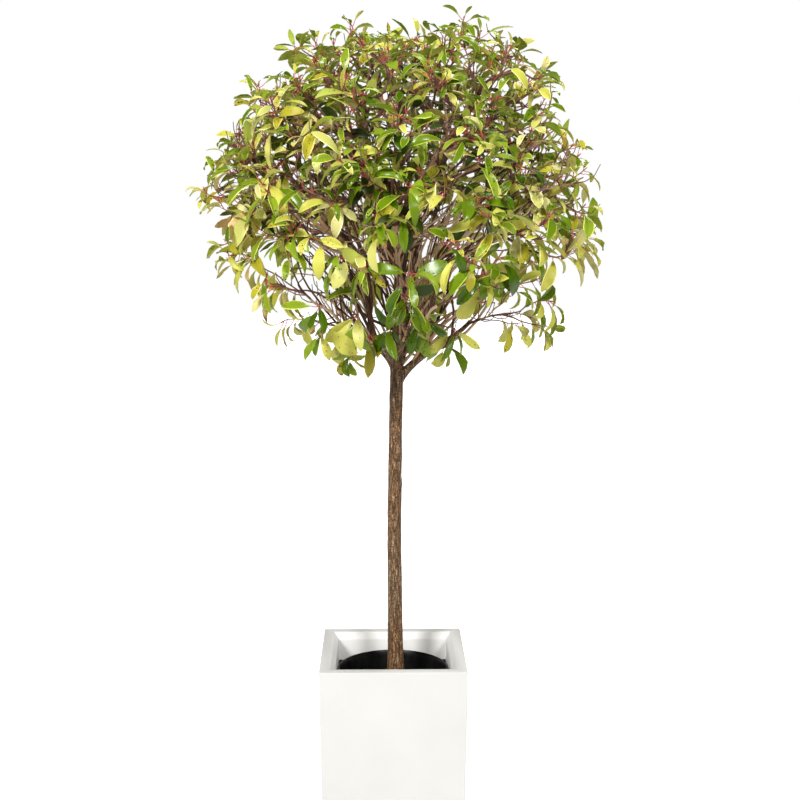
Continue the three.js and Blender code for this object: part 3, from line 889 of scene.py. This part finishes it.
wood_paths = {name: ([], []) for name, colour in TWIG_TINTS}
spur_paths, spur_radii, young_paths, young_radii, shoots = [], [], [], [], []
for twig in twigs:
    dense = twig_points(twig, np.linspace(0, 1, DENSE_KNOTS))
    run = lengths_along(dense)
    young = growth.uniform(*YOUNG_LENGTH) if twig["bears"] else 0
    turn_share = max(OLD_LEAST, 1 - young / run[-1])
    old_shares = np.linspace(0, turn_share, OLD_KNOTS)
    thickness = twig_radii(twig, old_shares)
    slim = 0 if thickness[1] > ROD_RADIUS else 1
    tint = WHIP_TINT if twig["whip"] else growth.integers(ROD_TINTS) + slim
    if dense[-1][2] > HEAD[2] + DARK_ABOVE:
        tint = DARKER_TINTS[tint]
    paths, radii = wood_paths[TWIG_TINTS[tint][0]]
    paths.append(twig_points(twig, old_shares))
    radii.append(thickness)
    if twig["bears"]:
        young_shares = np.linspace(turn_share, 1, YOUNG_KNOTS)
        young_paths.append(twig_points(twig, young_shares))
        young_radii.append(np.linspace(thickness[-1], TWIG_TIP * YOUNG_TIP, YOUNG_KNOTS))
        axis = unit(dense[-1] - dense[-END_KNOTS])
        shoots.append({
            "path": dense, "run": run, "axis": axis, "out": twig["out"], "pale": twig["pale"]})
    for spur in range(SPURS):
        share = growth.uniform(*SPUR_PLACES) * turn_share
        before, start = twig_points(twig, (share - SPUR_STEP, share))
        way = unit(unit(start - before) * SPUR_FORWARD + growth.normal(0, SPUR_JITTER, 3))
        reach = growth.uniform(*SPUR_LENGTH)
        bow = (
            start, start + way * reach / 3, start + way * reach * SPUR_BOW,
            start + unit(way + UP * SPUR_RISE) * reach)
        spur_paths.append(bezier(bow, np.linspace(0, 1, SPUR_KNOTS)))
        spur_radii.append(np.linspace(*SPUR_RADII, SPUR_KNOTS))
for name, colour in TWIG_TINTS:
    bark_finish = plain_finish(f"{name}_twig_bark", colour, roughness=0.7, shine=0.18)
    add_tubes(f"twigs_{name}", *wood_paths[name], TWIG_SIDES, bark_finish, "bark")
spur_finish = plain_finish("brown_spur_bark", SPUR_COLOUR, roughness=0.7, shine=0.18)
add_tubes("twig_spurs", spur_paths, spur_radii, SPUR_SIDES, spur_finish, "bark")
mauve_twig = plain_finish("mauve_young_bark", YOUNG_COLOUR, roughness=0.55, shine=0.25)
add_tubes("young_shoots", young_paths, young_radii, TWIG_SIDES, mauve_twig, "bark")

# Leaf buds
# A small pointed red bud closes the end of every shoot, wrapped in its scales.
BUD_LENGTH = (0.007, 0.016)
BUD_SHARES = (0, 0.25, 0.55, 0.85, 1)
BUD_RADII = np.array((0.0011, 0.0018, 0.0017, 0.0010, 0.0004))
BUD_GIRTHS = (0.8, 1.2)
BUD_SIDES = 5
BUD_COLOUR = (167, 65, 60)

bud_paths, bud_radii = [], []
for shoot in shoots:
    reach = growth.uniform(*BUD_LENGTH)
    bud_paths.append([
        shoot["path"][-1] + shoot["axis"] * reach * share for share in BUD_SHARES])
    bud_radii.append(BUD_RADII * growth.uniform(*BUD_GIRTHS))
red_bud = plain_finish("red_bud_scales", BUD_COLOUR, roughness=0.45, shine=0.45)
add_tubes("leaf_buds", bud_paths, bud_radii, BUD_SIDES, red_bud, "leaf")

# Leaves
# Leathery leaves in whorls round the end of every shoot, each on a red stalk, folded along its
# paler rib and arching over: glossy green above, yellow olive below, and browned at some tips.
LEAF_LENGTH = 0.084
LENGTH_SHARES = (0.65, 1.25)
LEAF_LONGEST = 0.098
LEAF_SLENDER = 0.35
SLENDER_SHARES = (0.7, 1.2)
LEAF_THICKNESS = 0.0008
RIM_THINNER = 0.5
STALK_LENGTH = (0.011, 0.025)
# Leaves are smaller at the top of the head, and larger where they hang low
TOP_SMALLER = 0.2
LOW_LARGER = 0.17
LOW_START = 0.4
# Leaves of a shoot from its end on: how many, how far back, size, and lean from the shoot in degrees
LEAF_COUNTS = (4, 5, 6, 7)
LEAF_DISTANCES = (0.001, 0.005, 0.012, 0.023, 0.038, 0.056, 0.078)
DISTANCE_SHARES = (0.8, 1.3)
LEAF_SIZES = (0.66, 0.84, 0.96, 1.0, 1.0, 0.96, 0.9)
LEAF_LEANS = (28, 40, 50, 58, 64, 69, 73)
LEAN_JITTER = 9
WHORL_JITTER = 0.15
SAG = (0.0, 0.35)
LOW_SAG = (0.3, 1.0)
# What a leaf's upper side turns to: along its shoot, up, and where it hangs low outwards
FACE_ALONG = 0.45
FACE_UP = 0.75
LOW_FACE_OUT = 0.9
FACE_JITTER = 0.4
# Leaves of a pale shoot
PALE_LEAVES = 4
PALE_TINT = 0.8
PALE_SPREAD = 0.8
PALE_FACE_UP = 0.3
PALE_SLENDER = 0.62
PALE_LENGTH = 0.74
# Form of the blade: arch, fold and twist in radians, and a rippled edge in shares of its half width
LEAF_BEND = (0.35, 1.8)
LEAF_FOLD = (0.1, 0.7)
LEAF_TWIST = 0.45
LEAF_WAVE = (0, 0.16)
RIPPLES = 11
RIPPLE_SHIFT = 1.9
# Share of leaves with a pale rim, a painted highlight where light catches the leaf's edge, at the
# height of the head's middle, and what it gains to the top.
# Share of leaves with a browned tip, and where along the leaf that starts
HIGHLIGHTED_SHARE = 0.5
HIGHLIGHTED_GAIN = 0.5
SCORCHED_SHARE = 0.1
SCORCH_START = (0.8, 0.98)
UNSCORCHED = 2
# Share of the leaf's length, and of its half width, at each row of corners between base and tip
LEAF_ROWS = np.array((0.08, 0.25, 0.45, 0.65, 0.83, 0.95))
LEAF_OUTLINE = np.array((0.26, 0.70, 0.97, 1.0, 0.68, 0.24))
LEAF_COLUMNS = np.array((-1.0, -0.84, 0.0, 0.84, 1.0))
RIM_CURL = np.array((0.1, 0.0, 0.0, 0.0, 0.1))
# Finishes of a leaf in their order, the last a pale rim that is a painted highlight, and those of
# its upper side from rim to rim
ABOVE, BELOW, BROWNED, EDGE_HIGHLIGHT = range(4)
HIGHLIGHT_COLUMNS = (EDGE_HIGHLIGHT, ABOVE, ABOVE, EDGE_HIGHLIGHT)
RIM_ANGLE = math.radians(55)
# A leaf that would stand out of the head near its tip is shorter
REACH_LIMIT = 1.015
REACH_SHARE = 0.9
CLIPPED_LENGTH = 0.7

unfolding = np.random.default_rng(7064)
leaves = []
for shoot in shoots:
    path, run, axis, out = shoot["path"], shoot["run"], shoot["axis"], shoot["out"]
    across = unit(np.cross(axis, np.eye(3)[np.argmin(np.abs(axis))]))
    turn = unfolding.uniform(0, 2 * math.pi)
    tint_draw = PALE_TINT if shoot["pale"] else unfolding.uniform()
    count = PALE_LEAVES if shoot["pale"] else LEAF_COUNTS[unfolding.integers(len(LEAF_COUNTS))]
    low = min(1, max(0, LOW_START - (path[-1][2] - HEAD[2]) / HEAD_DOWN))
    for k in range(count):
        spread = turn + k * GOLDEN_TURN + unfolding.normal(0, WHORL_JITTER)
        around = across * math.cos(spread) + np.cross(axis, across) * math.sin(spread)
        lean = math.radians(LEAF_LEANS[k] + unfolding.normal(0, LEAN_JITTER))
        sag = unfolding.uniform(*SAG) + low * unfolding.uniform(*LOW_SAG)
        way = unit(axis * math.cos(lean) + around * math.sin(lean) - UP * sag)
        face = axis * FACE_ALONG + UP * FACE_UP + out * low * LOW_FACE_OUT
        face = face + unfolding.normal(0, FACE_JITTER, 3)
        face = unit(face - way * (face @ way))
        slender = LEAF_SLENDER * unfolding.uniform(*SLENDER_SHARES) * (1 + LOW_LARGER * low)
        if shoot["pale"]:
            way = unit(around * PALE_SPREAD - UP)
            face = unit(out * (1, 1, 0) + UP * PALE_FACE_UP)
            face = unit(face - way * (face @ way))
            slender = PALE_SLENDER
        at = run[-1] - LEAF_DISTANCES[k] * unfolding.uniform(*DISTANCE_SHARES)
        foot = np.array([np.interp(at, run, path[:, i]) for i in range(3)])
        base = foot + way * unfolding.uniform(*STALK_LENGTH)
        length = LEAF_LENGTH * LEAF_SIZES[k] * unfolding.uniform(*LENGTH_SHARES)
        length *= 1 + LOW_LARGER * low - TOP_SMALLER * max(0, (path[-1][2] - HEAD[2]) / HEAD_UP)
        length = min(length * (PALE_LENGTH if shoot["pale"] else 1), LEAF_LONGEST)
        far = base + way * length * REACH_SHARE - HEAD
        distance = np.linalg.norm(far)
        if distance > REACH_LIMIT * lumpy_reach(far / distance):
            length *= CLIPPED_LENGTH
        leaves.append({
            "foot": foot, "base": base, "way": way, "face": face, "length": length,
            "width": length * slender,
            "bend": unfolding.uniform(*LEAF_BEND), "fold": unfolding.uniform(*LEAF_FOLD),
            "twist": unfolding.normal(0, LEAF_TWIST), "wave": unfolding.uniform(*LEAF_WAVE),
            "phase": unfolding.uniform(0, 2 * math.pi), "tint": tint_draw,
            "own": unfolding.uniform(), "depth": np.linalg.norm(path[-1] - HEAD) / head_reach(out),
            "rim": unfolding.uniform() < HIGHLIGHTED_SHARE + HIGHLIGHTED_GAIN * (base[2] - HEAD[2]) / HEAD_UP,
            "scorch": (
                unfolding.uniform(*SCORCH_START) if unfolding.uniform() < SCORCHED_SHARE
                else UNSCORCHED)})


def gathered(some, key):
    """One value of each leaf, as an array."""
    return np.array([leaf[key] for leaf in some])


def leaf_rows(some, shares):
    """Centre line of each leaf at shares of its length, with its side and upper ways there."""
    base, way, face = (gathered(some, key)[:, None] for key in ("base", "way", "face"))
    length, bend, twist = (gathered(some, key)[:, None] for key in ("length", "bend", "twist"))
    angle = bend * shares
    forward = (length * np.sin(angle) / bend)[..., None]
    down = (length * (1 - np.cos(angle)) / bend)[..., None]
    centre = base + way * forward - face * down
    upper = face * np.cos(angle)[..., None] + way * np.sin(angle)[..., None]
    side = np.cross(face, way) + 0 * upper
    roll = (twist * shares)[..., None]
    rolled_side = side * np.cos(roll) + upper * np.sin(roll)
    rolled_upper = upper * np.cos(roll) - side * np.sin(roll)
    return centre, rolled_side, rolled_upper


def leaf_blades(some):
    """Closed blades: corners of base, rows, tip and underside rows, fifty to a leaf."""
    shares = np.concatenate(((0,), LEAF_ROWS, (1,)))
    centre, side, upper = leaf_rows(some, shares)
    half = gathered(some, "width")[:, None] / 2 * LEAF_OUTLINE
    fold, wave, phase = (gathered(some, key)[:, None, None] for key in ("fold", "wave", "phase"))
    out = np.abs(LEAF_COLUMNS)
    turns = RIPPLES * LEAF_ROWS[:, None] + phase + (LEAF_COLUMNS > 0) * RIPPLE_SHIFT
    ripple = wave * np.sin(turns)
    lift = half[..., None] * (np.sin(fold) * out - RIM_CURL + ripple * out)
    over = half[..., None] * np.cos(fold) * LEAF_COLUMNS
    inner = slice(1, -1)
    top = (
        centre[:, inner, None] + side[:, inner, None] * over[..., None]
        + upper[:, inner, None] * lift[..., None])
    thick = LEAF_THICKNESS * np.sqrt(LEAF_OUTLINE)[:, None] * (1 - RIM_THINNER * out[inner])
    under = top[:, :, inner] - upper[:, inner, None] * thick[..., None]
    count = len(some)
    return np.concatenate((
        centre[:, :1], top.reshape(count, -1, 3), centre[:, -1:], under.reshape(count, -1, 3)), 1)


# Numbers of a blade's corners: the base is 0, and the underside shares its rim with the upper side
rows, columns = len(LEAF_ROWS), len(LEAF_COLUMNS)
tip_corner = 1 + rows * columns
top_grid = 1 + np.arange(rows * columns).reshape(rows, columns)
under_grid = top_grid.copy()
under_grid[:, 1:-1] = tip_corner + 1 + np.arange(rows * (columns - 2)).reshape(rows, columns - 2)


def blade_faces(grid):
    """Three-cornered faces at base and tip, and four-cornered ones between, seen from above."""
    base = np.zeros(columns - 1, int)
    tip = np.full(columns - 1, tip_corner)
    ends = np.concatenate((
        np.stack((base, grid[0, :-1], grid[0, 1:]), 1),
        np.stack((grid[-1, :-1], tip, grid[-1, 1:]), 1)))
    quads = np.stack((grid[:-1, :-1], grid[1:, :-1], grid[1:, 1:], grid[:-1, 1:]), -1)
    return ends, quads.reshape(-1, 4)


# Share of the leaf's length at the middle of each face, of the ends and of the rows between
END_SHARES = np.repeat((0.04, 0.98), columns - 1)
ROW_SHARES = np.repeat((LEAF_ROWS[:-1] + LEAF_ROWS[1:]) / 2, columns - 1)


def add_leaves(name, some, finishes, nodes):
    """One piece of leaves, with finishes for upper side, underside, browned tip and a pale rim that
    is a painted highlight.
    """
    corners = leaf_blades(some)
    count, each = corners.shape[:2]
    top_ends, top_quads = blade_faces(top_grid)
    under_ends, under_quads = blade_faces(under_grid)
    kinds = (top_ends, top_quads, under_ends[:, ::-1], under_quads[:, (0, 3, 2, 1)])
    faces = [copies(kind, count, each) for kind in kinds]
    piece = mesh_from(name, corners.reshape(-1, 3), faces)
    scorch = gathered(some, "scorch")[:, None]
    # Leaves with a pale rim take the painted highlight colour on the outer strips of their upper
    # side
    highlighted = gathered(some, "rim")[:, None]
    highlight_ends = highlighted * np.tile(HIGHLIGHT_COLUMNS, 2)
    highlight_quads = highlighted * np.tile(HIGHLIGHT_COLUMNS, rows - 1)
    sides = (
        (highlight_ends, END_SHARES), (highlight_quads, ROW_SHARES), (BELOW, END_SHARES), (BELOW, ROW_SHARES))
    slots = [np.where(shares > scorch, BROWNED, side).ravel() for side, shares in sides]
    for finish in finishes:
        piece.data.materials.append(finish)
    piece.data.polygons.foreach_set("material_index", np.concatenate(slots))
    piece.data.set_sharp_from_angle(angle=RIM_ANGLE)
    place_piece(piece, nodes)


# Tints: name, colours above, below and on the rim, the pale rim colour being a painted highlight,
# roughness of the upper side, and the sun it takes at most
TINTS = (
    ("deep", (69, 99, 4), (136, 157, 46), (141, 165, 48), 0.24, 0.17),
    ("mid", (104, 131, 14), (169, 184, 69), (184, 200, 73), 0.26, 0.38),
    ("fresh", (137, 160, 36), (198, 207, 94), (224, 232, 110), 0.28, 0.52),
    ("moss", (179, 171, 44), (209, 197, 96), (238, 226, 122), 0.38, 0.57),
    ("olive", (205, 202, 86), (221, 216, 118), (250, 246, 150), 0.42, 0.69),
    ("lime", (206, 204, 108), (222, 218, 132), (254, 250, 178), 0.42, 0.80),
    ("yellow", (210, 203, 128), (226, 219, 146), (254, 250, 190), 0.45, 0.88),
    ("tan", (210, 178, 112), (226, 199, 134), (244, 218, 156), 0.5, 2.0),
    ("russet", (178, 121, 71), (212, 170, 111), (218, 180, 124), 0.55, 2.0),
    # The shade tint's dark green is painted shade
    ("shade", (49, 66, 4), (89, 100, 15), (100, 112, 24), 0.5, 2.0),
)
# Leaves deep in the head take the dark shade tint, which is painted shade: how deep, what share of
# them, and above which height
SHADE_DEPTH = 0.74
SHADE_SHARE = 0.6
SHADE_ABOVE = -0.5
# A leaf's sun: what its shoot and the leaf itself draw, and what it gains towards the sides, which
# is more low down, where the middle of the head loses some
SUN_OF_SHOOT = 0.5
SUN_OF_LEAF = 0.4
SUN_ASIDE = 0.28
ASIDE_START = 0.3
LOW_SUN_START = 0.2
LOW_SUN_ASIDE = 0.75
LOW_SUN_LOSS = 0.25
SUN_MOST = 0.62
SUN_MOST_OF_LEAF = 0.3
RUSSET_SUN = 0.86
RUSSET_OWN = 0.95
BROWNED_COLOUR = (148, 104, 66)


def tint_of(leaf):
    """Sunlit leaves run to olive and yellow, those low under the head to green, those deep in the
    head to a dark green that is painted shade, and a few are brown."""
    height = (leaf["base"][2] - HEAD[2]) / HEAD_UP
    aside = abs(leaf["base"][0] - HEAD[0]) / HEAD_RADIUS
    if leaf["depth"] < SHADE_DEPTH and leaf["own"] < SHADE_SHARE and height > SHADE_ABOVE:
        return "shade"
    draw = SUN_OF_SHOOT * leaf["tint"] + SUN_OF_LEAF * leaf["own"]
    draw += SUN_ASIDE * (aside - ASIDE_START)
    draw += max(0, -height - LOW_SUN_START) * (LOW_SUN_ASIDE * aside - LOW_SUN_LOSS)
    draw = min(draw, SUN_MOST + SUN_MOST_OF_LEAF * leaf["own"])
    if draw > RUSSET_SUN and leaf["own"] > RUSSET_OWN:
        return "russet"
    return next(name for name, upper, under, rim, gloss, sun in TINTS if draw < sun)


masses = [f"foliage_{order:02d}" for order in range(1, len(boughs) + 1)]
scorched = plain_finish("browned_leaf_tip", BROWNED_COLOUR, roughness=0.6, shine=0.3)
by_tint = {tint[0]: [] for tint in TINTS}
for leaf in leaves:
    by_tint[tint_of(leaf)].append(leaf)
for name, upper_colour, under_colour, highlight_colour, gloss, sun in TINTS:
    upper_finish = plain_finish(f"{name}_leaf_above", upper_colour, roughness=gloss, shine=0.36)
    under_finish = plain_finish(f"{name}_leaf_below", under_colour, roughness=0.65, shine=0.12)
    # The rim colour is a painted highlight along the leaf's edge
    highlight_finish = plain_finish(f"{name}_leaf_edge_highlight", highlight_colour, roughness=0.5, shine=0.2)
    add_leaves(
        f"leaves_{name}", by_tint[name], (upper_finish, under_finish, scorched, highlight_finish), masses)

# Leaf spots
# Dark purple-brown spots that rain and age leave on the green blades, and lighter brown freckles on
# the pale ones. Each goes through its blade, and shows on both of its sides.
# Kinds: name, colour, tints that have them, share of those leaves, count on each, and radius
SPOTS = (
    ("leaf_spots", (74, 44, 40), ("deep", "mid", "fresh", "moss"), 0.65, (3, 12),
     (0.0011, 0.0025)),
    ("leaf_freckles", (124, 82, 48), ("moss", "olive", "lime", "yellow", "tan"), 0.65, (4, 14),
     (0.0008, 0.0018)),
)
SPOT_THICKNESS = 0.0009
SPOT_PLACES = (0.1, 0.9)
INNER_COLUMNS = (1, 3)
# Corners of a spot: its rim, and then the middle of each of its sides
SPOT_SIDES = 6
SPOT_CORNERS = SPOT_SIDES + 2
SPOT_RIM = np.arange(SPOT_SIDES)
SPOT_NEXT = (SPOT_RIM + 1) % SPOT_SIDES
SPOT_TURNS = SPOT_RIM * 2 * math.pi / SPOT_SIDES
SPOT_FACES = np.concatenate((
    np.stack((SPOT_RIM, SPOT_NEXT, np.full(SPOT_SIDES, SPOT_SIDES)), 1),
    np.stack((SPOT_NEXT, SPOT_RIM, np.full(SPOT_SIDES, SPOT_SIDES + 1)), 1)))


def spot_on(grid, radii):
    """A flat lens at a chance place between the corners of a blade."""
    row, column = unfolding.integers(rows - 1), unfolding.integers(*INNER_COLUMNS)
    down, over = unfolding.uniform(*SPOT_PLACES, 2)
    a, b = grid[row, column], grid[row, column + 1]
    c, d = grid[row + 1, column], grid[row + 1, column + 1]
    middle = (a * (1 - over) + b * over) * (1 - down) + (c * (1 - over) + d * over) * down
    long, wide = unit(c + d - a - b), unit(b + d - a - c)
    rise = unit(np.cross(wide, long)) * -SPOT_THICKNESS
    radius = unfolding.uniform(*radii)
    rim = [
        middle + radius * (long * math.cos(turn) + wide * math.sin(turn)) for turn in SPOT_TURNS]
    return np.array([*rim, middle + rise, middle - rise])


for name, colour, tints, share, counts, radii in SPOTS:
    spotted = [leaf for tint in tints for leaf in by_tint[tint] if unfolding.uniform() < share]
    lenses = [
        spot_on(blade[top_grid], radii)
        for blade in leaf_blades(spotted) for spot in range(unfolding.integers(*counts))]
    spots = mesh_from(name, np.concatenate(lenses), [copies(SPOT_FACES, len(lenses), SPOT_CORNERS)])
    spots.data.materials.append(plain_finish(f"brown_{name}", colour, roughness=0.5, shine=0.4))
    place_piece(spots)

# Leaf stalks and ribs
# Each leaf sits on a short red stalk, which runs on as a pale rib along the fold of the blade and
# stands out on both of its sides.
STALK_RADII = (0.0011, 0.0009)
STALK_SAG = 0.0015
STALK_KNOTS = 4
STALK_SIDES = 4
STALK_COLOUR = (217, 88, 88)
RIB_RADII = (0.0010, 0.0003)
RIB_SHARES = np.concatenate(((0,), LEAF_ROWS))
RIB_DEPTH = 0.6
RIB_SIDES = 3
RIB_COLOUR = (188, 190, 100)

stalk_shares = np.linspace(0, 1, STALK_KNOTS)[:, None]
stalks = [
    leaf["foot"] + (leaf["base"] - leaf["foot"]) * stalk_shares
    - UP * STALK_SAG * np.sin(math.pi * stalk_shares)
    for leaf in leaves]
stalk_radii = np.tile(np.linspace(*STALK_RADII, STALK_KNOTS), (len(leaves), 1))
red_stalk = plain_finish("red_leaf_stalk", STALK_COLOUR, roughness=0.5, shine=0.3)
add_tubes("leaf_stalks", stalks, stalk_radii, STALK_SIDES, red_stalk, "leaf")
centres, sides, uppers = leaf_rows(leaves, RIB_SHARES)
rib_radii = np.tile(np.linspace(*RIB_RADII, len(RIB_SHARES)), (len(leaves), 1))
rib_paths = centres - uppers * LEAF_THICKNESS * RIB_DEPTH
pale_rib = plain_finish("pale_leaf_rib", RIB_COLOUR, roughness=0.5, shine=0.4)
add_tubes("leaf_ribs", rib_paths, rib_radii, RIB_SIDES, pale_rib, "leaf")

# Floor, light and camera
# A plain white studio floor and surround, a pair of large soft lamps high in front, one high behind,
# and a camera at eye level.
FLOOR_SIZE = 40
FLOOR_GREY = (0.75, 0.75, 0.75, 1)
FLOOR_GLOW = 0.72
WHITE = (1, 1, 1, 1)
SOFT_LIGHT = 0.08
# Lamps: name, strength, softness in degrees, and the way its light goes
LAMPS = (
    ("left_lamp", 2.75, 12, (0.62, 1.0, -0.8)), ("right_lamp", 1.82, 12, (-0.5, 1.0, -0.8)),
    ("top_back_lamp", 1.15, 22, (-0.35, -0.8, -0.97)))
CAMERA_LENS = 61.65
CAMERA_SENSOR = 36
CAMERA_PLACE = (-0.03, -3.744, 1.603)
# How far it is turned down and to the right, in degrees
CAMERA_DOWN = 7.49
CAMERA_RIGHT = 0.77

bpy.ops.mesh.primitive_plane_add(size=FLOOR_SIZE, location=(0, 0, 0))
floor = bpy.context.object
floor.name = "studio_floor"
white_floor, tree, shader = new_finish("white_studio_floor", roughness=0.9)
shader.inputs["Base Color"].default_value = FLOOR_GREY
shader.inputs["Emission Color"].default_value = WHITE
rays = tree.nodes.new("ShaderNodeLightPath")
glow = range_from(tree, rays.outputs["Is Camera Ray"], low=0.0, high=FLOOR_GLOW)
tree.links.new(glow, shader.inputs["Emission Strength"])
floor.data.materials.append(white_floor)

scene = bpy.context.scene
world = bpy.data.worlds.new("studio_surround")
world.use_nodes = True
tree = world.node_tree
soft_light = tree.nodes["Background"]
soft_light.inputs["Color"].default_value = WHITE
soft_light.inputs["Strength"].default_value = SOFT_LIGHT
backdrop = tree.nodes.new("ShaderNodeBackground")
backdrop.inputs["Strength"].default_value = 1
backdrop.inputs["Color"].default_value = WHITE
rays = tree.nodes.new("ShaderNodeLightPath")
either = tree.nodes.new("ShaderNodeMixShader")
tree.links.new(rays.outputs["Is Camera Ray"], either.inputs["Fac"])
tree.links.new(soft_light.outputs["Background"], either.inputs[1])
tree.links.new(backdrop.outputs["Background"], either.inputs[2])
tree.links.new(either.outputs["Shader"], tree.nodes["World Output"].inputs["Surface"])
scene.world = world
scene.view_settings.view_transform = "Standard"

for name, strength, softness, way in LAMPS:
    light = bpy.data.lights.new(name, "SUN")
    light.energy = strength
    light.angle = math.radians(softness)
    lamp = bpy.data.objects.new(name, light)
    lamp.rotation_euler = Vector(way).to_track_quat("-Z", "Y").to_euler()
    scene.collection.objects.link(lamp)

lens = bpy.data.cameras.new("eye_level_camera")
lens.lens = CAMERA_LENS
lens.sensor_width = CAMERA_SENSOR
camera = bpy.data.objects.new("eye_level_camera", lens)
camera.location = CAMERA_PLACE
camera.rotation_euler = (math.radians(90 - CAMERA_DOWN), 0, math.radians(-CAMERA_RIGHT))
scene.collection.objects.link(camera)
scene.camera = camera
